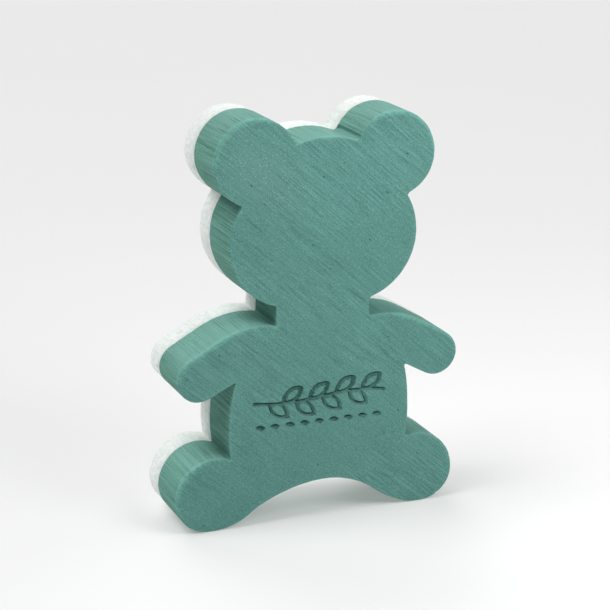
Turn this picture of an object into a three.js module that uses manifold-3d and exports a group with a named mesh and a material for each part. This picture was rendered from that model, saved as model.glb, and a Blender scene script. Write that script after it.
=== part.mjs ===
// A flat teddy-bear floral foam base, standing on its two feet.
//
// It is a sandwich of three pieces cut to one outline: a thick slab of wet
// floral foam in front, a thin film of glue, and a slab of white expanded
// polystyrene behind, which keeps the foam from breaking when it is soaked.
//
// Units are millimetres. +Z is up, +X is to the right of someone facing the
// foam, and +Y points from the foam to the polystyrene. The origin is on the
// ground, under the middle of the bear's width and thickness.

import * as THREE from 'three';
import * as BufferGeometryUtils from 'three/addons/utils/BufferGeometryUtils.js';
import Module from 'manifold-3d';

// Layers, from the front face at -Y to the back face at +Y.
const THICKNESS = 50;
const FOAM_THICKNESS = 33;
const GLUE_THICKNESS = 0.3;
const LAYER_GAP = 0.05;
const GLUE_INSET = 3;

// The motif pressed into the chest: a leafy sprig over a row of seeds.
const PRESS_DEPTH = 2;
const GROOVE_WIDTH = 2.2;
const SPRIG = { z: 77.5, halfWidth: 43, rise: 1.6 };
const LEAF = { length: 16.5, width: 9, lean: 0.62, first: -29, pitch: 17.3, count: 4 };
const SEED = { z: 62, length: 6, width: 3.2, pitch: 9.6, count: 9 };

// Longest straight step along a curve.
const CURVE_STEP = 3;
const SMALL_CURVE_STEP = 1.2;

// The outline runs round discs that overlap, touch a common straight cut, or
// share a tangent. Each is given by its middle and radius, with x out from the
// middle line. The head is the same on both sides. Below the shoulders the
// blade was led round by hand, so the sides differ a little.
const CROWN = { x: 0, z: 190, radius: 47 };
const EAR = { x: 44, z: 224, radius: 26 };
const CHEEK = { x: 20, z: 176, radius: 40 };
const NECK_HALF_WIDTH = 30;
const SHOULDER = { x: 39.5, z: 72, radius: 54 };
const ARMPIT = { x: 55, z: 93, radius: 0 };
const HIP_X = 57.5;
const BODY_RADIUS = 120;
const ARCH_HEIGHT = 23.5;
const SIDES = {
  right: {
    armEnd: { x: 77, z: 97, radius: 14 },
    foot: { x: 65.5, z: 20, radius: 25.5 },
    soleInnerX: 64,
    instep: { x: 39, z: 11.5, radius: 65 },
    archRadius: 55,
  },
  left: {
    armEnd: { x: 78, z: 96.5, radius: 13.5 },
    foot: { x: 67, z: 21, radius: 25 },
    soleInnerX: 64.5,
    instep: { x: 42.5, z: 9.5, radius: 40 },
    archRadius: 90,
  },
};

const wasm = await Module();
wasm.setup();

// Points after `from` up to `to` along an arc. It bulges to the left of the
// way from one to the other, or to the right when its radius is negative.
function arcPoints(from, to, radius, step) {
  const chord = to.clone().sub(from);
  const size = Math.abs(radius);
  const side = Math.sign(radius);
  const halfAngle = Math.asin(Math.min(1, chord.length() / 2 / size));
  const outward = new THREE.Vector2(-chord.y, chord.x).normalize().multiplyScalar(side);
  const middle = from.clone().add(to).multiplyScalar(0.5);
  const centre = middle.addScaledVector(outward, -size * Math.cos(halfAngle));
  const start = from.clone().sub(centre);
  const count = Math.max(2, Math.ceil((2 * halfAngle * size) / step));
  const points = [];
  for (let i = 1; i <= count; i += 1) {
    const turn = (-side * 2 * halfAngle * i) / count;
    points.push(start.clone().rotateAround(new THREE.Vector2(), turn).add(centre));
  }
  return points;
}

function middleOf(disc) {
  return new THREE.Vector2(disc.x, disc.z);
}

// The unit vectors from disc a to disc b and to the left of that, and the distance.
function fromTo(a, b) {
  const along = middleOf(b).sub(middleOf(a));
  const distance = along.length();
  along.divideScalar(distance);
  return { along, left: new THREE.Vector2(-along.y, along.x), distance };
}

// Where the edges of two overlapping discs cross, on the left of the way from a to b.
function crossing(a, b) {
  const { along, left, distance } = fromTo(a, b);
  const reach = (distance ** 2 + a.radius ** 2 - b.radius ** 2) / (2 * distance);
  const offset = Math.sqrt(a.radius ** 2 - reach ** 2);
  return middleOf(a).addScaledVector(along, reach).addScaledVector(left, offset);
}

// The ends of the straight cut that touches both discs on the left of the way from a to b.
function tangentCut(a, b) {
  const { along, left, distance } = fromTo(a, b);
  const lean = (a.radius - b.radius) / distance;
  const out = along.clone().multiplyScalar(lean).addScaledVector(left, Math.sqrt(1 - lean ** 2));
  return [a, b].map((disc) => middleOf(disc).addScaledVector(out, disc.radius));
}

// The upper or lower point of a disc's edge at the given x.
function edgeAt(disc, x, upOrDown) {
  const rise = Math.sqrt(disc.radius ** 2 - (x - disc.x) ** 2);
  return new THREE.Vector2(x, disc.z + upOrDown * rise);
}

// Points after `from` up to `to`, clockwise round a disc.
function roundDisc(disc, from, to) {
  const start = from.clone().sub(middleOf(disc));
  const end = to.clone().sub(middleOf(disc));
  const sweep = (start.angle() - end.angle() + 2 * Math.PI) % (2 * Math.PI);
  const count = Math.max(2, Math.ceil((sweep * disc.radius) / CURVE_STEP));
  const points = [];
  for (let i = 1; i <= count; i += 1) {
    const turned = start.clone().rotateAround(new THREE.Vector2(), (-sweep * i) / count);
    points.push(turned.add(middleOf(disc)));
  }
  return points;
}

// From the middle of the crown round the ear and cheek to the top of the neck.
function headPoints() {
  const top = new THREE.Vector2(CROWN.x, CROWN.z + CROWN.radius);
  const innerNotch = crossing(CROWN, EAR);
  const outerNotch = crossing(EAR, CHEEK);
  return [
    top,
    ...roundDisc(CROWN, top, innerNotch),
    ...roundDisc(EAR, innerNotch, outerNotch),
    ...roundDisc(CHEEK, outerNotch, edgeAt(CHEEK, NECK_HALF_WIDTH, -1)),
  ];
}

// From the foot of the neck along the shoulder and round the arm to the armpit.
function armPoints({ armEnd }) {
  const neckFoot = edgeAt(SHOULDER, NECK_HALF_WIDTH, 1);
  const [leavesShoulder, meetsArm] = tangentCut(SHOULDER, armEnd);
  const [leavesArm, armpit] = tangentCut(armEnd, ARMPIT);
  return [
    neckFoot,
    ...roundDisc(SHOULDER, neckFoot, leavesShoulder),
    meetsArm,
    ...roundDisc(armEnd, meetsArm, leavesArm),
    armpit,
  ];
}

// From the armpit down the body and round the foot to the top of the arch. A
// smaller disc inside the foot's outermost point brings its edge to the ground.
function legPoints({ foot, soleInnerX, instep, archRadius }) {
  const hip = edgeAt(foot, HIP_X, 1);
  const toe = new THREE.Vector2(foot.x + foot.radius, foot.z);
  const heel = { x: toe.x - foot.z, z: foot.z, radius: foot.z };
  const soleOuter = new THREE.Vector2(heel.x, 0);
  const soleInner = new THREE.Vector2(soleInnerX, 0);
  const archTop = new THREE.Vector2(0, ARCH_HEIGHT);
  return [
    ...arcPoints(middleOf(ARMPIT), hip, BODY_RADIUS, CURVE_STEP),
    ...roundDisc(foot, hip, toe),
    ...roundDisc(heel, toe, soleOuter),
    soleInner,
    ...arcPoints(soleInner, middleOf(instep), instep.radius, CURVE_STEP),
    ...arcPoints(middleOf(instep), archTop, -archRadius, CURVE_STEP),
  ];
}

// One side's outline from the crown to the arch, with +x out from the middle.
function sidePoints(side) {
  return [...headPoints(), ...armPoints(SIDES[side]), ...legPoints(SIDES[side])];
}

// The whole outline, clockwise from the crown, centred on its width.
function bearOutline() {
  const right = sidePoints('right');
  const left = sidePoints('left').map((p) => new THREE.Vector2(-p.x, p.y));
  const outline = [...right, ...left.slice(1, -1).reverse()];
  const box = new THREE.Box2().setFromPoints(outline);
  const middle = (box.min.x + box.max.x) / 2;
  return outline.map((p) => new THREE.Vector2(p.x - middle, p.y));
}

// The outline moved inwards by `distance`, corner by corner.
function insetOutline(outline, distance) {
  return outline.map((point, i) => {
    const before = outline[(i + outline.length - 1) % outline.length];
    const after = outline[(i + 1) % outline.length];
    const arriving = point.clone().sub(before).normalize();
    const leaving = after.clone().sub(point).normalize();
    const along = arriving.clone().add(leaving).normalize();
    const inward = new THREE.Vector2(along.y, -along.x);
    const stretch = 1 / Math.max(0.5, inward.dot(new THREE.Vector2(arriving.y, -arriving.x)));
    return point.clone().addScaledVector(inward, distance * stretch);
  });
}

// A slab with the given outline in X and Z, from y = front to y = back.
function slab(outline, front, back) {
  const geometry = new THREE.ExtrudeGeometry(new THREE.Shape(outline), {
    depth: back - front,
    bevelEnabled: false,
  });
  geometry.rotateX(Math.PI / 2);
  geometry.translate(0, back, 0);
  return geometry;
}

function toSolid(geometry) {
  const bare = geometry.clone();
  bare.deleteAttribute('normal');
  bare.deleteAttribute('uv');
  const merged = BufferGeometryUtils.mergeVertices(bare);
  return new wasm.Manifold(
    new wasm.Mesh({
      numProp: 3,
      vertProperties: new Float32Array(merged.attributes.position.array),
      triVerts: new Uint32Array(merged.index.array),
    }),
  );
}

function toGeometry(solid) {
  const mesh = solid.getMesh();
  const geometry = new THREE.BufferGeometry();
  geometry.setAttribute('position', new THREE.BufferAttribute(mesh.vertProperties, 3));
  geometry.setIndex(new THREE.BufferAttribute(mesh.triVerts, 1));
  geometry.computeVertexNormals();
  return geometry;
}

// Radius of the two arcs that make a pointed oval.
function leafRadius(length, width) {
  return (length * length) / (4 * width) + width / 4;
}

// A pointed oval along +x from the origin.
function leafOutline(length, width) {
  const base = new THREE.Vector2();
  const tip = new THREE.Vector2(length, 0);
  const radius = leafRadius(length, width);
  return [
    base,
    ...arcPoints(base, tip, radius, SMALL_CURVE_STEP),
    ...arcPoints(tip, base, radius, SMALL_CURVE_STEP).slice(0, -1),
  ];
}

// A groove of even width along a row of points.
function grooveOutline(points, width) {
  const edge = (side) => points.map((point, i) => {
    const before = points[Math.max(0, i - 1)];
    const after = points[Math.min(points.length - 1, i + 1)];
    const along = after.clone().sub(before).normalize();
    const across = new THREE.Vector2(-along.y, along.x);
    return point.clone().addScaledVector(across, (side * width) / 2);
  });
  return [...edge(1), ...edge(-1).reverse()];
}

function placed(outline, x, z, angle) {
  const at = new THREE.Vector2(x, z);
  return outline.map((p) => p.clone().rotateAround(new THREE.Vector2(), angle).add(at));
}

// Height of the stem above the middle of the sprig.
function stemHeight(x) {
  return SPRIG.z + SPRIG.rise * Math.sin((Math.PI * x) / SPRIG.halfWidth);
}

function stemOutline() {
  const points = [];
  const steps = Math.round((2 * SPRIG.halfWidth) / CURVE_STEP);
  for (let i = 0; i <= steps; i += 1) {
    const x = -SPRIG.halfWidth + (2 * SPRIG.halfWidth * i) / steps;
    points.push(new THREE.Vector2(x, stemHeight(x)));
  }
  return grooveOutline(points, GROOVE_WIDTH);
}

// What stands inside a leaf once a groove of even width follows its edge.
function leafIsland() {
  const radius = leafRadius(LEAF.length, LEAF.width);
  const halfLength = Math.sqrt((radius - GROOVE_WIDTH) ** 2 - (radius - LEAF.width / 2) ** 2);
  const outline = leafOutline(2 * halfLength, LEAF.width - 2 * GROOVE_WIDTH);
  return placed(outline, LEAF.length / 2 - halfLength, 0, 0);
}

// Everything that the press leaves in the front face, as one cutting solid.
function pressedMotif() {
  const front = -THICKNESS / 2;
  const cutter = (outline) => toSolid(slab(outline, front - 1, front + PRESS_DEPTH));
  let motif = cutter(stemOutline());
  const whole = leafOutline(LEAF.length, LEAF.width);
  const island = leafIsland();
  for (let i = 0; i < LEAF.count; i += 1) {
    const x = LEAF.first + LEAF.pitch * i;
    for (const side of [1, -1]) {
      const root = x + (side * LEAF.pitch) / 4;
      const at = [root, stemHeight(root), side * LEAF.lean];
      motif = motif.add(cutter(placed(whole, ...at)).subtract(cutter(placed(island, ...at))));
    }
  }
  const seed = leafOutline(SEED.length, SEED.width);
  for (let i = 0; i < SEED.count; i += 1) {
    const x = SEED.pitch * (i - (SEED.count - 1) / 2) - SEED.length / 2;
    motif = motif.add(cutter(placed(seed, x, SEED.z, 0)));
  }
  return motif;
}

function floralFoamBody(outline) {
  const front = -THICKNESS / 2;
  const block = toSolid(slab(outline, front, front + FOAM_THICKNESS));
  return toGeometry(block.subtract(pressedMotif()));
}

function adhesiveFilm(outline) {
  const front = -THICKNESS / 2 + FOAM_THICKNESS + LAYER_GAP;
  return slab(insetOutline(outline, GLUE_INSET), front, front + GLUE_THICKNESS);
}

function polystyreneBacking(outline) {
  const front = -THICKNESS / 2 + FOAM_THICKNESS + GLUE_THICKNESS + 2 * LAYER_GAP;
  return slab(outline, front, THICKNESS / 2);
}

function piece(name, geometry, color, roughness) {
  const material = new THREE.MeshStandardMaterial({ color, roughness, metalness: 0 });
  const mesh = new THREE.Mesh(geometry, material);
  mesh.name = name;
  return mesh;
}

const outline = bearOutline();
const bear = new THREE.Group();
bear.add(piece('floral_foam_body', floralFoamBody(outline), 0x5b9085, 0.95));
bear.add(piece('adhesive_film', adhesiveFilm(outline), 0xe6dfc4, 0.5));
bear.add(piece('polystyrene_backing', polystyreneBacking(outline), 0xf0f3f0, 0.85));

export default bear;
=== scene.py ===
"""A teddy-bear floral foam base: sawn green foam glued to a white polystyrene backing.

The CAD frame gives the outline, the layers and the pressed motif. Here each
layer gets its real surface: saw lines, worn and crumbled rims, soft groove
walls, small pits, fused beads, and a procedural material to match. The mesh
code works in millimetres, with x to the right, y away from the front and z up.
The studio round the bear is in metres.
"""

import itertools
import math

import bpy
import numpy as np
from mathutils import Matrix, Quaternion, Vector, kdtree
from mathutils.geometry import delaunay_2d_cdt


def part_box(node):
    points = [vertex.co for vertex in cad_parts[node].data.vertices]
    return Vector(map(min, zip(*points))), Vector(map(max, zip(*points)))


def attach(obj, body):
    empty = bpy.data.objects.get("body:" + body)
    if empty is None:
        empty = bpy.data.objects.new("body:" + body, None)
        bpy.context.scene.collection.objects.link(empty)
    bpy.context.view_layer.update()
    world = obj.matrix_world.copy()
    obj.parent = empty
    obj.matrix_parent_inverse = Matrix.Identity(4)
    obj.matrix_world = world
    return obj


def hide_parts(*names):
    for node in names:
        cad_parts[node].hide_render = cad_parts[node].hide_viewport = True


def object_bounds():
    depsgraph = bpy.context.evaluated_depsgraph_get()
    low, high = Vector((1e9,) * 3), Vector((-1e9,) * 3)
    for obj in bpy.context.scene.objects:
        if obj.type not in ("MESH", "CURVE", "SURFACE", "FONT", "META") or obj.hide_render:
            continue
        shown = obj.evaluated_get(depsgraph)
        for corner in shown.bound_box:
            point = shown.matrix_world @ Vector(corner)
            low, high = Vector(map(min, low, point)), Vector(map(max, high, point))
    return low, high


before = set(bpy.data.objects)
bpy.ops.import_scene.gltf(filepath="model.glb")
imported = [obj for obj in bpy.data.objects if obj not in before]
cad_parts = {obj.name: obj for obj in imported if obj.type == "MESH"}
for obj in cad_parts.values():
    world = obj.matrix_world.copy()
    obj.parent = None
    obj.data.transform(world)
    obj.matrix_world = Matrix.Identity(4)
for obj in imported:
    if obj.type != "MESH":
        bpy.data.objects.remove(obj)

MM = 0.001
cad_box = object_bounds()

# Sampling of the meshes, in millimetres.
COLUMN_STEP = 0.55  # round the outline
LINE_STEP = (2.0, 0.45)  # on the front face, along and across the saw lines
GROOVE_STEP = 0.45  # on the front face, in and beside the pressed grooves
BACK_STEP = 1.1  # on the back of the polystyrene
HIDDEN_STEP = 4.0  # on the glued faces

# The cut.
SAW_ANGLE = math.radians(40.5)  # the front's saw lines fall this far below the horizontal
SOFT_NOTCH_ROUNDS = 24  # how much the notches on the right are rounded
SHARP_NOTCH_SHARE = 0.12  # and how little of that those on the left get
NOTCH_TURN = math.radians(20)
NOTCH_REACH = 2.5

# The seam between foam and polystyrene.
SEAM_BAND = 2.0  # the outer band where the two meet, with the glue film inside it
SEAM_WANDER = 0.28

RELIEF_LIMIT = 0.3  # no relief stands further than this off the front or the back


# ---------------------------------------------------------------- numbers


def scatter(cells, seed):
    """A fixed random number from 0 to 1 for each row of whole numbers."""
    mixed = np.full(len(cells), seed + 1, np.uint64)
    for column in cells.astype(np.int64).astype(np.uint64).T:
        mixed = (mixed ^ column) * np.uint64(0x9E3779B97F4A7C15)
        mixed ^= mixed >> np.uint64(29)
    return (mixed >> np.uint64(11)).astype(float) / 2.0**53


def noise(points, size, seed):
    """Smooth noise from -1 to 1 with features about `size` across, which may differ by axis."""
    scaled = points / np.asarray(size, float)
    cell = np.floor(scaled)
    t = scaled - cell
    t = t * t * (3 - 2 * t)
    total = np.zeros(len(points))
    for corner in itertools.product((0, 1), repeat=points.shape[1]):
        weight = np.where(corner, t, 1 - t).prod(axis=1)
        total += weight * scatter(cell + corner, seed)
    return 2 * total - 1


def smooth(low, high, value):
    """0 below low, 1 above high, and an even curve between."""
    t = np.clip((value - low) / (high - low), 0, 1)
    return t * t * (3 - 2 * t)


def saw_frame(xz):
    """Distances along and across the saw lines."""
    along = Vector((math.cos(SAW_ANGLE), -math.sin(SAW_ANGLE)))
    across = Vector((math.sin(SAW_ANGLE), math.cos(SAW_ANGLE)))
    return xz @ np.array([along, across]).T


# ---------------------------------------------------------------- the frame's shapes


def levels(node):
    """The depths at which a CAD node has corners."""
    return {round(corner.co.y / MM, 3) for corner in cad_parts[node].data.vertices}


def flat_rim(node, y):
    """The edges round a CAD node's flat faces at depth y, as pairs of (x, z) points."""
    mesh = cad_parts[node].data
    corners = [tuple(round(value / MM, 3) for value in v.co) for v in mesh.vertices]
    edges = {}
    for polygon in mesh.polygons:
        ring = [corners[i] for i in polygon.vertices]
        if any(abs(corner[1] - y) > 0.01 for corner in ring):
            continue
        ring = [(corner[0], corner[2]) for corner in ring]
        for start, end in zip(ring, ring[1:] + ring[:1]):
            if edges.get((end, start)):
                del edges[end, start]
            else:
                edges[start, end] = True
    return list(edges)


def chained(edges):
    """The closed loop that the edges make, anticlockwise as seen from the front."""
    following = dict(edges)
    at = edges[0][0]
    loop = []
    while at in following:
        loop.append(at)
        at = following.pop(at)
    loop = np.array(loop)
    x, z = loop.T
    area = np.sum(x * np.roll(z, -1) - z * np.roll(x, -1))
    return loop if area > 0 else loop[::-1]


def spaced(loop, step):
    """Points along the straight edges of a closed loop, about one step apart."""
    ends = np.roll(loop, -1, 0)
    lengths = np.linalg.norm(ends - loop, axis=1)
    travelled = np.concatenate([[0], np.cumsum(lengths)])
    places = np.linspace(0, travelled[-1], round(travelled[-1] / step), endpoint=False)
    closed = np.vstack([loop, loop[:1]])
    return np.stack([np.interp(places, travelled, closed[:, i]) for i in (0, 1)], axis=1)


def distance_to(points, places):
    """How far each point is from the nearest of a few places."""
    return np.linalg.norm(points[:, None] - places, axis=2).min(axis=1)


def bear_outline():
    """The outline, its outward normals and its notches, which are rounded as the blade left them."""
    loop = chained(flat_rim("polystyrene_backing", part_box("polystyrene_backing")[1].y / MM))
    into = loop - np.roll(loop, 1, 0)
    out = np.roll(into, -1, 0)
    turn = np.abs(np.arctan2(into[:, 0] * out[:, 1] - into[:, 1] * out[:, 0], (into * out).sum(1)))
    notches = loop[turn > NOTCH_TURN]
    points = spaced(loop, COLUMN_STEP)
    nearest = distance_to(points, notches[notches[:, 0] < 0])
    share = 0.5 * np.where(nearest < NOTCH_REACH, SHARP_NOTCH_SHARE, 1)[:, None]
    for _ in range(SOFT_NOTCH_ROUNDS):
        middle = (np.roll(points, 1, 0) + np.roll(points, -1, 0)) / 2
        points = points + share * (middle - points)
    along = np.roll(points, -1, 0) - np.roll(points, 1, 0)
    normals = np.stack([along[:, 1], -along[:, 0]], axis=1)
    return points, normals / np.linalg.norm(normals, axis=1)[:, None], notches


def inside(points, edges):
    """Whether each point is inside the closed loops that the edges make."""
    x, z = points.T
    odd = np.zeros(len(points), bool)
    for (x0, z0), (x1, z1) in edges:
        if z0 != z1:
            odd ^= ((z0 > z) != (z1 > z)) & (x < x0 + (x1 - x0) * (z - z0) / (z1 - z0))
    return odd


def depth_inside(points, edges):
    """How far each point is inside the loops that the edges make, or outside if negative."""
    nearest = np.full(len(points), np.inf)
    for start, end in np.array(edges):
        way = end - start
        t = np.clip((points - start) @ way / (way @ way), 0, 1)
        nearest = np.minimum(nearest, np.linalg.norm(points - start - t[:, None] * way, axis=1))
    return np.where(inside(points, edges), nearest, -nearest)


# ---------------------------------------------------------------- filling a flat face


def lattice(low, high, step, stretch):
    """Rows of points, staggered from row to row, over a box. stretch turns (x, z) into rows."""
    corners = np.array(list(itertools.product(*zip(low, high)))) @ stretch
    first, last = corners.min(0), corners.max(0)
    row_gap = step * math.sqrt(3) / 2
    rows = np.arange(first[1], last[1], row_gap)
    places = np.arange(first[0], last[0], step)
    grid = np.array([(u + step / 2 * (i % 2), v) for i, v in enumerate(rows) for u in places])
    return grid @ np.linalg.inv(stretch)


def clear_of(points, others, gap, stretch):
    """The points at least gap from all the others, measured once both are stretched."""
    tree = kdtree.KDTree(len(others))
    for i, place in enumerate(others @ stretch):
        tree.insert((*place, 0), i)
    tree.balance()
    far = [tree.find((*place, 0))[2] > gap for place in points @ stretch]
    return points[np.array(far, bool)]


def face_points(rim, step, stretch):
    """Lattice points inside a rim, kept a little off it."""
    points = lattice(rim.min(0), rim.max(0), step, stretch)
    points = points[inside(points, list(zip(rim, np.roll(rim, -1, 0))))]
    return clear_of(points, rim, 0.6 * step, stretch)


def triangles(rim, loose, stretch):
    """Triangles that span a rim and the loose points in it, as numbers into rim + loose."""
    flat = [Vector(place) for place in np.vstack([rim, loose]) @ stretch]
    count = len(rim)
    edges = [(i, (i + 1) % count) for i in range(count)]
    _, _, faces, origins, _, _ = delaunay_2d_cdt(flat, edges, [], 1, 1e-6)
    return [[origins[i][0] for i in face] for face in faces]


# ---------------------------------------------------------------- building a layer


def new_piece(name, points, faces, facts, material, node):
    """A mesh object from points in millimetres. facts are numbers kept on each point."""
    mesh = bpy.data.meshes.new(name)
    mesh.from_pydata((np.asarray(points) * MM).tolist(), [], faces)
    for fact, values in facts.items():
        mesh.attributes.new(fact, "FLOAT", "POINT").data.foreach_set("value", values)
    mesh.polygons.foreach_set("use_smooth", [True] * len(mesh.polygons))
    mesh.materials.append(material)
    mesh.update()
    piece = bpy.data.objects.new(name, mesh)
    bpy.context.scene.collection.objects.link(piece)
    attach(piece, "root")
    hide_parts(node)
    return piece


def layer(rings, front_loose, front_stretch, back_loose):
    """Points and faces of a closed slab. rings go from the front rim round to the back rim."""
    count = len(rings[0])
    points = np.vstack([*rings, front_loose, back_loose])
    faces = []
    for low in range(0, count * (len(rings) - 1), count):
        for i in range(count):
            j = (i + 1) % count
            faces.append([low + i, low + count + i, low + count + j, low + j])
    first_front = count * len(rings)
    first_back = first_front + len(front_loose)
    last_ring = count * (len(rings) - 1)
    for face in triangles(rings[0][:, ::2], front_loose[:, ::2], front_stretch):
        faces.append([i if i < count else first_front + i - count for i in face])
    for face in triangles(rings[-1][:, ::2], back_loose[:, ::2], np.eye(2)):
        faces.append([last_ring + i if i < count else first_back + i - count for i in face][::-1])
    return points, faces


def at_depth(xz, y):
    """(x, z) points as (x, y, z)."""
    return np.stack([xz[:, 0], np.broadcast_to(y, len(xz)), xz[:, 1]], axis=1)


OUTLINE, NORMALS, NOTCHES = bear_outline()


def rim_ring(inset, y):
    """The outline moved inwards, at depth y. Both may differ from point to point."""
    return at_depth(OUTLINE - NORMALS * np.broadcast_to(inset, len(OUTLINE))[:, None], y)


# ---------------------------------------------------------------- the foam

FOAM_LOW, FOAM_HIGH = (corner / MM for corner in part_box("floral_foam_body"))
BACK_LOW, BACK_HIGH = (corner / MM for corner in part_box("polystyrene_backing"))
SEAM_Y = (FOAM_HIGH.y + BACK_LOW.y) / 2
GROOVE_FLOOR = min(y for y in levels("floral_foam_body") if y > FOAM_LOW.y + 0.1)
PRESS_DEPTH = GROOVE_FLOOR - FOAM_LOW.y
GROOVES = flat_rim("floral_foam_body", GROOVE_FLOOR)
GROOVE_LIP = 0.18  # the groove's wall starts this far outside its edge
GROOVE_WALL = 0.42  # and is this wide
PRESS_SLANT = np.array([0.35, -0.4])  # from the deep side of a groove to the shallow one
GROOVE_ZONE = 1.2  # fine mesh reaches this far from the grooves
PRESS_LEAST = 0.3  # the shallowest place, as a share of the full depth
LIP_SAG = 0.1  # how far the foam beside a groove sank with it
LIP_SAG_REACH = 0.9
FAINT_CORNER = 0.22  # the press was this much fainter at the lower right of the motif
SEED_TOP = (67, 65)  # the seeds lie below these heights, and the sprig lies above
SAW_STRETCH = np.array(
    [
        [math.cos(SAW_ANGLE) * LINE_STEP[1] / LINE_STEP[0], math.sin(SAW_ANGLE)],
        [-math.sin(SAW_ANGLE) * LINE_STEP[1] / LINE_STEP[0], math.cos(SAW_ANGLE)],
    ]
)

# Where the blade paused, just above the notch beside the right ear, and cut in.
NICK = np.array([20.7, 235.5])
NICK_DEPTH = 1.3
NICK_REACH = (1.5, 0.4)  # gone beyond the first distance, full depth within the second

# A hole torn in the valley beside the left ear.
HOLE = np.array([-18.4, -13.5, 233.2])
HOLE_DEPTH = 1.2
HOLE_REACH = (2.0, 0.4)

# Small holes where a bubble in the foam burst, and torn crumbs.
PIT_COUNT = 90
PIT_RADIUS = (0.22, 0.62)
PIT_MARGIN = 3  # they stay this far inside the outline
PIT_GROOVE_GAP = 2  # and this far from the grooves
PIT_RINGS = ((0.45, 6), (1.0, 10))  # share of the radius, and points in the ring


def pit_places():
    """Centres and radii of the pits in the front face."""
    random = np.random.default_rng(11)
    low, high = OUTLINE.min(0), OUTLINE.max(0)
    centres = low + (high - low) * random.random((3 * PIT_COUNT, 2))
    centres = centres[inside(centres, list(zip(OUTLINE, np.roll(OUTLINE, -1, 0))))]
    centres = clear_of(centres, OUTLINE, PIT_MARGIN, np.eye(2))[:PIT_COUNT]
    centres = centres[depth_inside(centres, GROOVES) < -PIT_GROOVE_GAP]
    low_radius, high_radius = PIT_RADIUS
    radii = low_radius + (high_radius - low_radius) * random.random(len(centres)) ** 2
    return centres, radii


PITS = list(zip(*pit_places()))


def pit_depth(xz):
    """How deep the pits are at each point."""
    depth = np.zeros(len(xz))
    for centre, radius in PITS:
        away = np.linalg.norm(xz - centre, axis=1) / radius
        depth = np.maximum(depth, 0.9 * radius * (1 - smooth(0.35, 1, away)))
    return depth


def pit_points():
    """A centre and two rings of points for each pit."""
    points = []
    for centre, radius in PITS:
        points.append(centre)
        for share, count in PIT_RINGS:
            for turn in np.arange(count) * 2 * math.pi / count:
                points.append(centre + share * radius * np.array([math.cos(turn), math.sin(turn)]))
    return np.array(points)


def groove_points():
    """Points beside the grooves' edges, and a fine lattice in and around the grooves."""
    edges = np.array(GROOVES)
    ends = edges.reshape(-1, 2)
    beside = []
    for start, end in edges:
        way = end - start
        length = np.linalg.norm(way)
        left = np.array([-way[1], way[0]]) / length
        count = max(1, round(length / GROOVE_STEP))
        for t in (np.arange(count) + 0.5) / count:
            for offset in (-GROOVE_LIP, GROOVE_WALL - GROOVE_LIP):
                beside.append(start + t * way + offset * left)
    beside = np.array(beside)
    keys = np.round(beside / (0.6 * GROOVE_STEP)).astype(int)
    beside = beside[np.unique(keys, axis=0, return_index=True)[1]]
    plain = np.eye(2)
    around = lattice(ends.min(0) - GROOVE_ZONE, ends.max(0) + GROOVE_ZONE, GROOVE_STEP, plain)
    around = around[depth_inside(around, GROOVES) > -GROOVE_ZONE]
    return np.vstack([beside, clear_of(around, beside, 0.6 * GROOVE_STEP, plain)])


def press_at(xz):
    """How deep the motif is pressed at each point, and how dark its groove is painted: partly the
    foam's crush, partly painted shadow.
    """
    depth = depth_inside(xz, GROOVES)
    share = smooth(-GROOVE_LIP, GROOVE_WALL - GROOVE_LIP, depth)
    # The press went in at a slant: deepest along the upper left of each groove.
    slant = depth_inside(xz + PRESS_SLANT, GROOVES) - depth_inside(xz - PRESS_SLANT, GROOVES)
    slant = np.clip(slant / (2 * np.linalg.norm(PRESS_SLANT)), -1, 1)
    sag = LIP_SAG * np.exp(-np.abs(depth) / LIP_SAG_REACH)
    uneven = 0.8 + 0.25 * slant + 0.1 * noise(xz, 22, 3) + 0.07 * noise(xz, 5, 4)
    uneven -= FAINT_CORNER * smooth(5, 45, xz[:, 0]) * smooth(78, 62, xz[:, 1])
    floor = share * (PRESS_DEPTH * np.clip(uneven, PRESS_LEAST, 1) + 0.06 * noise(xz, 0.9, 5))
    seeds = 0.3 * smooth(*SEED_TOP, xz[:, 1])
    # Painted shadow: the groove is painted darkest along its upper left edge, where it lies in shade,
    # and darker in the seeds; the rest stands for the foam's crush.
    mark_strength = np.clip(0.15 + 1.9 * slant + seeds + 0.25 * noise(xz, 6, 6), 0.08, 1)
    return floor + sag, share * mark_strength


def saw_relief(xz):
    """Height of the front face's saw lines, in millimetres."""
    lines = saw_frame(xz)
    fine = 0.03 * noise(lines, (22, 1.0), 21)
    middle = 0.03 * noise(lines, (40, 2.1), 22)
    broad = 0.05 * noise(lines, (90, 9), 23)
    return fine + middle + broad + 0.12 * noise(xz, 35, 24)


def wall_relief(points):
    """Height of the lines that the blade drew through the thickness of the foam."""
    nick = NICK_DEPTH * smooth(*NICK_REACH, np.linalg.norm(points[:, ::2] - NICK, axis=1))
    hole = HOLE_DEPTH * smooth(*HOLE_REACH, np.linalg.norm(points - HOLE, axis=1))
    fine = 0.05 * noise(points, (1.1, 70, 1.1), 31)
    middle = 0.05 * noise(points, (2.3, 60, 2.3), 32)
    broad = 0.16 * noise(points, (11, 90, 11), 33)
    crumbs = 0.03 * noise(points, 1.3, 34)
    return fine + middle + broad + crumbs - nick - hole


def seam_depth():
    """The wavering depth at which foam and polystyrene meet, round the outline."""
    slow = noise(OUTLINE, 7, 41)
    quick = noise(OUTLINE, 2.2, 42)
    return SEAM_Y + SEAM_WANDER * (0.6 * slow + 0.4 * quick)


WORN_RADIUS = 1.4  # of the front rim where it is most exposed
CRISP_RADIUS = 0.25  # and where it is not
WEAR_LIMITS = (0.2, 2.1)  # least and greatest radius


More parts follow.
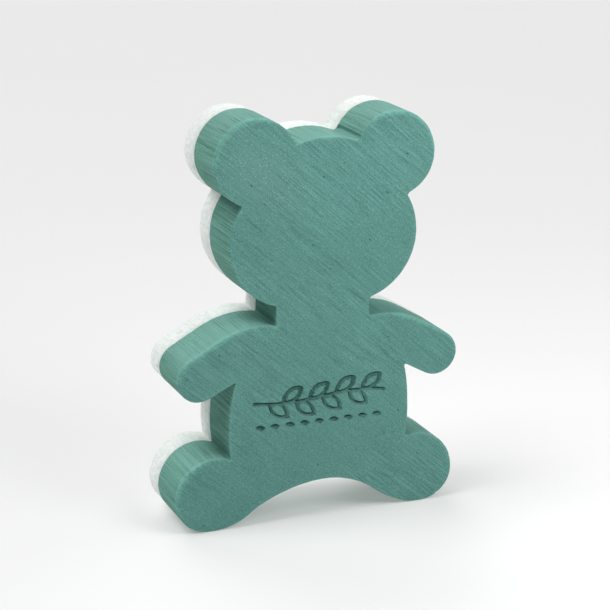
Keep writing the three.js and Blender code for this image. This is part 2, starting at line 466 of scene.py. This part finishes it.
def front_wear():
    """The radius of the foam's worn front rim, round the outline."""
    upward = 0.3 + 0.7 * smooth(-0.2, 0.65, NORMALS[:, 1])
    exposed = upward * smooth(6, 30, distance_to(OUTLINE, NOTCHES))
    uneven = 1 + 0.35 * noise(OUTLINE, 11, 51) + 0.2 * noise(OUTLINE, 2.5, 52)
    chips = 0.7 * smooth(0.7, 0.95, noise(OUTLINE, 3.6, 53))
    ragged = smooth(16, 5, distance_to(OUTLINE, NOTCHES[NOTCHES[:, 0] < 0]))
    nicks = 0.9 * ragged * smooth(0.15, 0.6, noise(OUTLINE, 1.7, 54))
    return np.clip(CRISP_RADIUS + WORN_RADIUS * exposed * uneven + chips + nicks, *WEAR_LIMITS)


def quarter_round(radius, steps):
    """Insets and depths of rings round a worn edge, from the face to the wall."""
    for angle in np.linspace(0, math.pi / 2, steps):
        yield radius * (1 - math.sin(angle)), radius * (1 - math.cos(angle))


# Rings down the wall, as shares of its depth.
WALL_SHARES = (0.025, 0.07, 0.14, 0.24, 0.36, 0.5, 0.64, 0.76, 0.86, 0.93, 0.975)


LEAST_RIM_PALING = 0.4  # even the crispest stretch of rim is this much paled
SEAM_STEP = 0.3  # how far the hidden face steps in from the seam's band
FRONT_RINGS = 6  # over the worn rim
PIT_CLEARANCE = 1.3  # the plain mesh stays this many radii from a pit


def foam_rings(wear):
    """Rings over the worn rim, down the wall and in under the torn edge at the seam."""
    torn = 0.12 + 0.1 * (1 + noise(OUTLINE, 1.8, 61))
    seam = seam_depth()
    front = FOAM_LOW.y
    worn = quarter_round(wear, FRONT_RINGS)
    rings = [rim_ring(inset, front + depth) for inset, depth in worn]
    for share in WALL_SHARES:
        rings.append(rim_ring(0, front + wear + share * (seam - torn - front - wear)))
    for inset, depth in list(quarter_round(torn, 3))[::-1]:
        rings.append(rim_ring(inset, seam - depth))
    rings.append(rim_ring(SEAM_BAND, seam))
    rings.append(rim_ring(SEAM_BAND + SEAM_STEP, FOAM_HIGH.y))
    return rings


def foam_face(rim):
    """Points in the front face: fine round the grooves and pits, stretched elsewhere."""
    plain = face_points(rim, LINE_STEP[1], SAW_STRETCH)
    plain = plain[depth_inside(plain, GROOVES) < -GROOVE_ZONE]
    away = [np.linalg.norm(plain - centre, axis=1) / radius for centre, radius in PITS]
    clear = [share > PIT_CLEARANCE for share in away]
    return np.vstack([groove_points(), pit_points(), plain[np.all(clear, axis=0)]])


def foam_body(material):
    wear = front_wear()
    front = FOAM_LOW.y
    rings = foam_rings(wear)
    last_front = FRONT_RINGS
    wall_rings = FRONT_RINGS + len(WALL_SHARES)
    loose = foam_face(rings[0][:, ::2])
    hidden = face_points(rings[-1][:, ::2], HIDDEN_STEP, np.eye(2))
    points, faces = layer(
        rings, at_depth(loose, front), SAW_STRETCH, at_depth(hidden, FOAM_HIGH.y)
    )

    # Wall lines fade out over the worn rim, and the face's relief fades in.
    count = len(OUTLINE)
    rows = np.arange(len(points)) // count
    on_wall = np.where(rows < wall_rings + 2, smooth(0, last_front, rows.astype(float)), 0)
    outward = np.zeros_like(points)
    ring_points = count * len(rings)
    outward[:ring_points, ::2] = np.tile(NORMALS, (len(rings), 1))
    relief = wall_relief(points) * on_wall
    points = points + outward * relief[:, None]

    xz = points[:, ::2]
    on_front = np.where(rows <= last_front, smooth(last_front, 0, rows.astype(float)), 0)
    on_front[ring_points : ring_points + len(loose)] = 1
    face = np.flatnonzero(on_front)
    press, groove = press_at(xz[face])
    pit = pit_depth(xz[face])
    points[face, 1] += on_front[face] * (press + pit - saw_relief(xz[face]))
    points[:, 1] = np.maximum(points[:, 1], front - RELIEF_LIMIT)
    points[:, 2] = np.maximum(points[:, 2], 0)

    # The groove and pit facts carry painted shade into the material.
    facts = {name: np.zeros(len(points)) for name in ("groove", "pit", "rim")}
    facts["groove"][face] = groove
    facts["pit"][face] = smooth(0.05, 0.5, pit)
    rim_paling = np.maximum(LEAST_RIM_PALING, smooth(0.3, 1.2, wear))
    facts["rim"][: count * (last_front + 1)] = np.tile(rim_paling, last_front + 1)
    return new_piece("foam_bear", points, faces, facts, material, "floral_foam_body")


# ---------------------------------------------------------------- the polystyrene

BEAD = 4.0  # across a bead
MISSING_BEADS = 0.012  # the share of them that has fallen out
BEAD_RELIEF = 0.16  # from bead to bead
SEAM_SINK = 0.2  # where beads meet
SUNK_DEPTH = 0.9  # where a bead is missing
CUT_SHARE = 0.35  # of that relief, left on the cut wall
BACKING_SHARES = (0.04, 0.12, 0.22, 0.34, 0.46, 0.58, 0.7, 0.8, 0.9, 0.97)


def bead_tree():
    """The middles of the fused beads, filling the backing, for looking up the nearest."""
    low = np.array(BACK_LOW) - BEAD
    high = np.array(BACK_HIGH) + BEAD
    axes = [np.arange(low[i], high[i], BEAD) for i in range(3)]
    grid = np.array(list(itertools.product(*axes)))
    random = np.random.default_rng(7)
    grid += BEAD * 0.85 * (random.random(grid.shape) - 0.5)
    tree = kdtree.KDTree(len(grid))
    for i, place in enumerate(grid):
        tree.insert(place, i)
    tree.balance()
    return tree


def bead_facts(points):
    """For each point, how near it is to where beads meet, and its bead's number."""
    tree = bead_tree()
    found = [tree.find_n(place, 2) for place in points]
    gap = np.array([second[2] - first[2] for first, second in found])
    number = np.array([first[1] for first, second in found])
    return 1 - smooth(0, 1.1, gap), number


def polystyrene_body(material):
    seam = seam_depth()
    rounding = np.clip(0.55 + 0.25 * noise(OUTLINE, 12, 71), 0.25, 1)
    torn = 0.1
    back = BACK_HIGH.y
    rings = [rim_ring(SEAM_BAND + SEAM_STEP, BACK_LOW.y), rim_ring(SEAM_BAND, seam)]
    rings += [rim_ring(inset, seam + depth) for inset, depth in quarter_round(torn, 2)]
    first_wall = len(rings)
    for share in BACKING_SHARES:
        rings.append(rim_ring(0, seam + torn + share * (back - rounding - seam - torn)))
    for inset, depth in list(quarter_round(rounding, 4))[::-1]:
        rings.append(rim_ring(inset, back - depth))
    hidden = face_points(rings[0][:, ::2], HIDDEN_STEP, np.eye(2))
    loose = face_points(rings[-1][:, ::2], BACK_STEP, np.eye(2))
    points, faces = layer(
        rings, at_depth(hidden, BACK_LOW.y), np.eye(2), at_depth(loose, back)
    )
    count = len(OUTLINE)
    ring_points = count * len(rings)
    first_back = ring_points + len(hidden)
    edge, number = bead_facts(points)
    sunk = scatter(number[:, None], 72) < MISSING_BEADS
    height = BEAD_RELIEF * (scatter(number[:, None], 73) - 0.5)
    height = height - SEAM_SINK * edge - SUNK_DEPTH * sunk * (1 - edge)

    outward = np.zeros_like(points)
    outward[:ring_points, ::2] = np.tile(NORMALS, (len(rings), 1))
    outward[first_back:] = (0, 1, 0)
    outward[: first_wall * count] = 0
    drag = 0.05 * noise(points, (1.6, 60, 1.6), 74) + 0.12 * noise(points, (11, 90, 11), 33)
    cut = CUT_SHARE * height + drag
    relief = np.where(np.arange(len(points)) < ring_points, cut, height)
    points = points + outward * relief[:, None]
    points[:, 1] = np.minimum(points[:, 1], back + RELIEF_LIMIT)
    points[:, 2] = np.maximum(points[:, 2], 0)
    facts = {"bead": edge, "sunk": sunk * (1 - edge), "tone": scatter(number[:, None], 75)}
    return new_piece(
        "polystyrene_bear", points, faces, facts, material, "polystyrene_backing"
    )


# ---------------------------------------------------------------- the glue


FILM_INSET = 3.6  # the film stops short of the outline, and wanders
FILM_WANDER = 0.5


def glue_film(material):
    low, high = (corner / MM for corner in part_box("adhesive_film"))
    inset = FILM_INSET + FILM_WANDER * noise(OUTLINE, 6, 81)
    middle = (low.y + high.y) / 2
    half = (high.y - low.y) / 2
    rings = [rim_ring(inset, low.y), rim_ring(inset - 0.15, middle), rim_ring(inset, high.y)]
    loose = face_points(rings[0][:, ::2], HIDDEN_STEP, np.eye(2))
    thin = half * 0.3 * (1 + noise(loose, 9, 82))
    points, faces = layer(
        rings, at_depth(loose, low.y + thin), np.eye(2), at_depth(loose, high.y - thin)
    )
    return new_piece("glue_film", points, faces, {}, material, "adhesive_film")


# ---------------------------------------------------------------- materials


class Surface:
    """The nodes of one material. A value may be a number, a colour or another node's output."""

    def __init__(self, name):
        self.material = bpy.data.materials.new(name)
        self.material.use_nodes = True
        self.tree = self.material.node_tree
        self.shader = self.tree.nodes["Principled BSDF"]
        self.place = self.node("ShaderNodeTexCoord", {}, "Object")

    def node(self, kind, inputs, output=0, **settings):
        node = self.tree.nodes.new(kind)
        for name, value in settings.items():
            setattr(node, name, value)
        for name, value in inputs.items():
            self.put(node.inputs[name], value)
        return node.outputs[output]

    def put(self, socket, value):
        if isinstance(value, bpy.types.NodeSocket):
            self.tree.links.new(value, socket)
        else:
            socket.default_value = value

    def finish(self, **inputs):
        for name, value in inputs.items():
            self.put(self.shader.inputs[name.replace("_", " ")], value)
        return self.material

    def math(self, operation, *values):
        return self.node("ShaderNodeMath", dict(enumerate(values)), operation=operation)

    def product(self, first, second):
        return self.math("MULTIPLY", first, second)

    def total(self, *terms):
        """The sum of (weight, value) pairs."""
        result = 0.0
        for weight, value in terms:
            result = self.math("MULTIPLY_ADD", value, weight, result)
        return result

    def scaled(self, size, turn=0.0):
        """Coordinates in which a feature of this size in millimetres, turned about y, is 1 across."""
        scale = [MM * length for length in size]
        inputs = {"Vector": self.place, "Rotation": (0, turn, 0), "Scale": scale}
        return self.node("ShaderNodeMapping", inputs, vector_type="TEXTURE")

    def noise(self, size, turn, detail):
        """Noise from about -0.5 to 0.5."""
        inputs = {"Vector": self.scaled(size, turn), "Scale": 1.0, "Detail": detail}
        return self.math("SUBTRACT", self.node("ShaderNodeTexNoise", inputs), 0.5)

    def clouds(self, size, detail):
        """Noise with features of one size in every direction."""
        return self.noise((size,) * 3, 0, detail)

    def lines(self, rows, turn):
        """(strength, noise) pairs from rows of a strength and the size of one line."""
        return [(strength, self.noise(size, turn, 1)) for strength, size in rows]

    def ramp(self, value, low, high):
        """0 below low and 1 above high, or the other way round if low is above high."""
        inputs = {"Value": value, "From Min": low, "From Max": high}
        return self.node("ShaderNodeMapRange", inputs, interpolation_type="SMOOTHSTEP")

    def mix(self, share, first, second):
        inputs = {0: share, 6: first, 7: second}
        return self.node("ShaderNodeMix", inputs, 2, data_type="RGBA")

    def blend(self, share, first, second):
        """As mix, for numbers."""
        return self.node("ShaderNodeMix", {0: share, 2: first, 3: second}, data_type="FLOAT")

    def fact(self, name):
        return self.node("ShaderNodeAttribute", {}, "Fac", attribute_name=name)

    def near(self, middle, size, turn=0.0):
        """1 at a place on the bear and 0 outside an oval of this half size, both in millimetres."""
        inputs = {
            "Vector": self.place,
            "Location": [MM * value for value in middle],
            "Rotation": (0, turn, 0),
            "Scale": [MM * length for length in size],
        }
        local = self.node("ShaderNodeMapping", inputs, vector_type="TEXTURE")
        away = self.node("ShaderNodeVectorMath", {"Vector": local}, "Value", operation="LENGTH")
        return self.ramp(away, 1, 0)

    def specks(self, spacing, radius, share):
        """1 inside small scattered spots. Cells are one spacing across, and this share has one."""
        cells = self.tree.nodes.new("ShaderNodeTexVoronoi")
        self.put(cells.inputs["Vector"], self.scaled((spacing,) * 3))
        cells.inputs["Scale"].default_value = 1.0
        spot = self.ramp(cells.outputs["Distance"], radius / spacing, 0.6 * radius / spacing)
        split = self.node("ShaderNodeSeparateColor", {"Color": cells.outputs["Color"]})
        return self.product(spot, self.math("LESS_THAN", split, share))

    def bump(self, height):
        """A normal from a height in millimetres."""
        return self.node("ShaderNodeBump", {"Height": height, "Distance": MM, "Strength": 1.0})


# Colours, linear.
FOAM_DARK = (0.050, 0.165, 0.140, 1)
FOAM_LIGHT = (0.195, 0.455, 0.405, 1)
WALL_DARK = (0.060, 0.180, 0.140, 1)
WALL_LIGHT = (0.200, 0.455, 0.378, 1)
RIM_PALE = (0.22, 0.54, 0.46, 1)
CHEEK_DUST = (0.36, 0.50, 0.47, 1)
UPTURNED_PALE = (0.30, 0.54, 0.50, 1)
FOAM_SPECK = (0.55, 0.74, 0.68, 1)
# Painted shade for the pits, small spots and grooves.
FOAM_HOLLOW_SHADE = (0.012, 0.062, 0.052, 1)

# Where the front's sawn face is duller, dustier or less marked by the saw: middle and half size.
DULL_BAND = ((-9, -25, 176), (48, 20, 5))
DUSTY_CHEEK = ((-38, -25, 217), (46, 20, 26))
CALM_EAR = ((-42, -25, 226), (30, 20, 27))
CALM_BELLY = ((5, -25, 50), (60, 20, 32))


# Lines that the blade left: how strong, and the size of one in millimetres.
FRONT_LINES = (
    (1.3, (16, 9, 0.6)),
    (0.8, (32, 9, 1.3)),
    (0.2, (90, 9, 5)),
)
WALL_LINES = (
    (2.6, (0.75, 45, 0.75)),
    (1.2, (1.6, 60, 1.6)),
    (0.5, (6, 90, 6)),
)

# A few lines are scored deeper.
FRONT_SCORE = (24, 9, 0.7)
FRONT_SCORE_DARKNESS = 0.55
WALL_SCORE = (0.7, 40, 0.7)
WALL_SCORE_DARKNESS = 1.3
LEAST_SAW = 0.15  # the saw lines never fade further than this

# How much of each thing shows in the foam's colour.
LINE_SHARE = 0.5
GRAIN_SHARE = 0.66
CLOUD_SHARE = 0.25
UPTURNED_PALE_SHARE = 0.22
RIM_SHARE = 0.42
CHEEK_SHARE = 0.07
CRUMB_SHARE = 0.8
SPOT_SHARE = 0.6
PATCHY_SPREAD = 0.15  # how much paler the palest part of a groove's darkening is


def front_lines(surface):
    """The saw lines on the front face, fainter where it is calm."""
    score = surface.ramp(surface.noise(FRONT_SCORE, SAW_ANGLE, 1), -0.12, -0.25)
    saw = surface.total(
        *surface.lines(FRONT_LINES, SAW_ANGLE),
        (-FRONT_SCORE_DARKNESS, score),
        (-0.25, surface.near(*DULL_BAND, SAW_ANGLE)),
    )
    calm = surface.total(
        (-0.75, surface.near(*CALM_EAR)),
        (-0.5, surface.near(*CALM_BELLY)),
        (1, surface.ramp(surface.noise((50, 50, 40), 0, 1), -0.3, 0.15)),
    )
    return surface.product(saw, surface.math("MAXIMUM", calm, LEAST_SAW))


def wall_lines(surface):
    """The lines that the blade drew through the thickness, stronger in some places."""
    score = surface.ramp(surface.noise(WALL_SCORE, 0, 1), -0.1, -0.25)
    drawn = surface.total(*surface.lines(WALL_LINES, 0), (-WALL_SCORE_DARKNESS, score))
    return surface.product(drawn, surface.ramp(surface.clouds(28, detail=1), -0.4, 0.1))


def paled_and_dusted(surface, colour, upward, cheek):
    """The colour, paler on faces turned up and along the worn rim, and dusty by the left ear."""
    # Faces turned up are paler and greyer.
    upturned_pale = surface.product(surface.ramp(upward, 0.3, 0.9), UPTURNED_PALE_SHARE)
    colour = surface.mix(upturned_pale, colour, UPTURNED_PALE)
    # The worn rim is paler, in patches, most where it is worn widest.
    mark_strength = surface.ramp(surface.clouds(2.2, detail=3), -0.3, 0.15)
    rim = surface.product(surface.fact("rim"), mark_strength)
    colour = surface.mix(surface.product(rim, RIM_SHARE), colour, RIM_PALE)
    return surface.mix(surface.product(cheek, CHEEK_SHARE), colour, CHEEK_DUST)


def foam_crumbs(surface, cheek):
    """Pale crumbs, which crowd together in places and most of all by the left ear."""
    crowd = surface.ramp(surface.clouds(30, detail=2), -0.05, 0.3)
    crowd = surface.total((1.2, cheek), (1, crowd))
    fine = surface.specks(spacing=1.3, radius=0.27, share=0.2)
    fine = surface.product(fine, surface.math("ADD", crowd, 0.15))
    flakes = surface.specks(spacing=3.4, radius=0.45, share=0.3)
    return surface.math("MAXIMUM", fine, surface.product(flakes, cheek))


def foam_hollow_shade(surface, spots):
    """Painted shade in the spots, pits and pressed grooves, unevenly dark; in the grooves it also
    stands for the foam's crush.
    """
    hollow_shade = surface.math("MAXIMUM", surface.product(spots, SPOT_SHARE), surface.fact("pit"))
    patchy = surface.ramp(surface.clouds(7, detail=2), -0.3, 0.3)
    patchy = surface.math("MULTIPLY_ADD", patchy, PATCHY_SPREAD, 1 - PATCHY_SPREAD)
    return surface.math("MAXIMUM", hollow_shade, surface.product(surface.fact("groove"), patchy))


def foam_material():
    surface = Surface("floral_foam_green")
    normal = surface.node("ShaderNodeNewGeometry", {}, "Normal")
    facing = surface.node("ShaderNodeSeparateXYZ", {"Vector": normal}, "Y")
    upward = surface.node("ShaderNodeSeparateXYZ", {"Vector": normal}, "Z")
    front = surface.ramp(surface.math("ABSOLUTE", facing), 0.6, 0.85)
    cheek = surface.product(surface.near(*DUSTY_CHEEK, SAW_ANGLE), front)

    lines = surface.blend(front, wall_lines(surface), front_lines(surface))
    grain = surface.total((1, surface.clouds(0.8, detail=1)), (1, surface.clouds(0.4, detail=1)))
    clouds = surface.clouds(38, detail=3)
    shade = surface.total((LINE_SHARE, lines), (GRAIN_SHARE, grain), (CLOUD_SHARE, clouds))
    shade = surface.math("ADD", shade, 0.5)
    face_colour = surface.mix(shade, FOAM_DARK, FOAM_LIGHT)
    wall_colour = surface.mix(shade, WALL_DARK, WALL_LIGHT)
    colour = surface.mix(front, wall_colour, face_colour)
    colour = paled_and_dusted(surface, colour, upward, cheek)
    crumbs = foam_crumbs(surface, cheek)
    colour = surface.mix(surface.product(crumbs, CRUMB_SHARE), colour, FOAM_SPECK)
    # Painted shade in small dark spots, the pits and the grooves.
    spots = surface.specks(spacing=5.5, radius=0.5, share=0.12)
    colour = surface.mix(foam_hollow_shade(surface, spots), colour, FOAM_HOLLOW_SHADE)

    height = surface.total((0.10, lines), (0.14, grain), (-0.15, spots), (0.08, crumbs))
    roughness = surface.math("MULTIPLY_ADD", grain, 0.2, 0.9)
    return surface.finish(
        Base_Color=colour, Roughness=roughness, Normal=surface.bump(height), Specular_IOR_Level=0.25
    )


BEAD_WHITE = (0.875, 0.93, 0.895, 1)
BEAD_SEAM = (0.66, 0.725, 0.69, 1)
# Painted shade for missing beads and small holes.
BEAD_HOLLOW_SHADE = (0.42, 0.45, 0.42, 1)


# How much of each thing shows in the polystyrene's colour.
BEAD_SEAM_SHARE = 0.65
BEAD_TONE_SHARE = 0.35
HOLE_SHARE = 0.55
SUNK_SHARE = 0.7
SUBSURFACE_REACH = 0.018  # metres


def polystyrene_material():
    surface = Surface("polystyrene_white")
    grain = surface.clouds(0.5, detail=2)
    drawn = surface.noise((1.4, 60, 1.4), 0, 1)
    clouds = surface.clouds(25, detail=2)
    seam = surface.fact("bead")
    tone = surface.product(surface.fact("tone"), BEAD_TONE_SHARE)
    seam_share = surface.math("MAXIMUM", surface.product(seam, BEAD_SEAM_SHARE), tone)
    colour = surface.mix(seam_share, BEAD_WHITE, BEAD_SEAM)
    shade = surface.total((0.5, grain), (0.5, drawn), (0.5, clouds))
    colour = surface.mix(surface.ramp(shade, 0.0, -0.5), colour, BEAD_SEAM)
    # Painted shade in small holes and where beads are missing.
    holes = surface.specks(spacing=2.6, radius=0.42, share=0.22)
    colour = surface.mix(surface.product(holes, HOLE_SHARE), colour, BEAD_HOLLOW_SHADE)
    colour = surface.mix(surface.product(surface.fact("sunk"), SUNK_SHARE), colour, BEAD_HOLLOW_SHADE)
    height = surface.total((0.10, grain), (0.06, drawn), (-0.12, seam))
    roughness = surface.math("MULTIPLY_ADD", grain, 0.3, 0.72)
    return surface.finish(
        Base_Color=colour,
        Roughness=roughness,
        Normal=surface.bump(height),
        Specular_IOR_Level=0.35,
        Subsurface_Weight=0.6,
        Subsurface_Radius=(SUBSURFACE_REACH,) * 3,
        Subsurface_Scale=1.0,
    )


GLUE_THIN = (0.80, 0.74, 0.55, 1)
GLUE_THICK = (0.62, 0.52, 0.31, 1)


def glue_material():
    surface = Surface("glue_amber")
    flow = surface.clouds(14, detail=3)
    strings = surface.noise((2, 2, 9), 0.4, 2)
    thickness = surface.ramp(surface.total((1, flow), (0.5, strings)), -0.3, 0.3)
    colour = surface.mix(thickness, GLUE_THIN, GLUE_THICK)
    height = surface.total((0.2, flow), (0.1, strings))
    roughness = surface.math("MULTIPLY_ADD", strings, 0.4, 0.35)
    return surface.finish(
        Base_Color=colour, Roughness=roughness, Normal=surface.bump(height), Coat_Weight=0.3
    )


# ---------------------------------------------------------------- the studio


FLOOR_GLOW = 0.25  # the floor is a light table, which keeps the shadows faint
FLOOR_RADIUS = 9.0
FLOOR_SIDES = 96
FLOOR_DROP = 0.0002  # below the soles
FLOOR_GREYS = ((0.60, 0.60, 0.60, 1), (0.62, 0.62, 0.62, 1))


def studio_floor():
    """A wide pale disc for the bear to stand on, a hair below its soles."""
    surface = Surface("studio_floor")
    cloud = surface.math("ADD", surface.clouds(400, detail=2), 0.5)
    colour = surface.mix(cloud, *FLOOR_GREYS)
    material = surface.finish(
        Base_Color=colour,
        Roughness=0.9,
        Specular_IOR_Level=0.1,
        Emission_Color=(1, 1, 1, 1),
        Emission_Strength=FLOOR_GLOW,
    )
    turns = [2 * math.pi * i / FLOOR_SIDES for i in range(FLOOR_SIDES)]
    around = [(FLOOR_RADIUS * math.cos(turn), FLOOR_RADIUS * math.sin(turn)) for turn in turns]
    corners = [(x, y, -FLOOR_DROP) for x, y in around]
    mesh = bpy.data.meshes.new("studio_floor")
    mesh.from_pydata(corners, [], [range(FLOOR_SIDES)])
    mesh.materials.append(material)
    floor = bpy.data.objects.new("studio_floor", mesh)
    bpy.context.scene.collection.objects.link(floor)


def from_side(azimuth, elevation):
    """Which way a light lies. Azimuth 0 is straight in front, and 90 is to the right."""
    turn = math.radians(azimuth)
    rise = math.radians(elevation)
    return Vector((math.sin(turn) * math.cos(rise), -math.cos(turn) * math.cos(rise), math.sin(rise)))


def add_light(name, kind, source, place, **settings):
    """A light that shines from `source` towards the bear."""
    light = bpy.data.lights.new(name, kind)
    for setting, value in settings.items():
        setattr(light, setting, value)
    lamp = bpy.data.objects.new(name, light)
    lamp.location = place
    lamp.rotation_euler = (-source).to_track_quat("-Z", "Y").to_euler()
    bpy.context.scene.collection.objects.link(lamp)


SUN_SPREAD = math.radians(40)
OVERHEAD = (0, 0, 2)  # where the suns hang, which doesn't change their light


def soft_sun(name, azimuth, elevation, strength):
    """Even light from a wide patch of a distant ceiling or wall."""
    source = from_side(azimuth, elevation)
    add_light(name, "SUN", source, OVERHEAD, energy=strength, angle=SUN_SPREAD)


def soft_box(name, azimuth, elevation, distance, size, power):
    """A round lamp near the bear's head, so that its light falls off towards the feet."""
    source = from_side(azimuth, elevation)
    head = Vector((0, 0, 0.8 * cad_box[1].z))
    add_light(name, "AREA", source, head + distance * source, energy=power, shape="DISK", size=size)


ROOM_LIGHT = 0.02  # what the backdrop gives the bear and the floor
BACKDROP_LIGHT = 1.0  # only the camera sees this, so the backdrop is white but lights very little


def studio_light():
    soft_sun("skylight", azimuth=-90, elevation=58, strength=2.1)
    soft_sun("right_window", azimuth=90, elevation=40, strength=0.5)
    soft_sun("back_window", azimuth=180, elevation=45, strength=1.1)
    soft_box("front_box", azimuth=35, elevation=32, distance=0.6, size=0.4, power=2.25)
    world = bpy.data.worlds.new("studio")
    world.use_nodes = True
    tree = world.node_tree
    background = tree.nodes["Background"]
    background.inputs["Color"].default_value = (1, 1, 1, 1)
    brightness = tree.nodes.new("ShaderNodeMix")
    brightness.inputs[2].default_value = ROOM_LIGHT
    brightness.inputs[3].default_value = BACKDROP_LIGHT
    seen = tree.nodes.new("ShaderNodeLightPath").outputs["Is Camera Ray"]
    tree.links.new(seen, brightness.inputs[0])
    tree.links.new(brightness.outputs[0], background.inputs["Strength"])
    bpy.context.scene.world = world
    bpy.context.scene.view_settings.view_transform = "Standard"


# The camera's view, in which the bear is seen a little from the left and above.
AZIMUTH = math.radians(23.65)
ELEVATION = math.radians(17.075)
TILT = math.radians(1.389)
DISTANCE = 1.1168
AIM_ABOVE_MIDDLE = 0.0028
AIM_BEHIND_MIDDLE = 0.001
LENS = 108.65
SENSOR_WIDTH = 36
FAR_LIMIT = 50


def studio_camera():
    low, high = cad_box
    aim = (low + high) / 2 + Vector((0, AIM_BEHIND_MIDDLE, AIM_ABOVE_MIDDLE))
    forward = Vector(
        (
            math.sin(AZIMUTH) * math.cos(ELEVATION),
            math.cos(AZIMUTH) * math.cos(ELEVATION),
            -math.sin(ELEVATION),
        )
    )
    data = bpy.data.cameras.new("camera")
    data.lens = LENS
    data.sensor_width = SENSOR_WIDTH
    data.clip_end = FAR_LIMIT
    camera = bpy.data.objects.new("camera", data)
    camera.location = aim - DISTANCE * forward
    turn = forward.to_track_quat("-Z", "Y") @ Quaternion((0, 0, 1), TILT)
    camera.rotation_euler = turn.to_euler()
    bpy.context.scene.collection.objects.link(camera)
    bpy.context.scene.camera = camera


foam_body(foam_material())
polystyrene_body(polystyrene_material())
glue_film(glue_material())
studio_floor()
studio_light()
studio_camera()
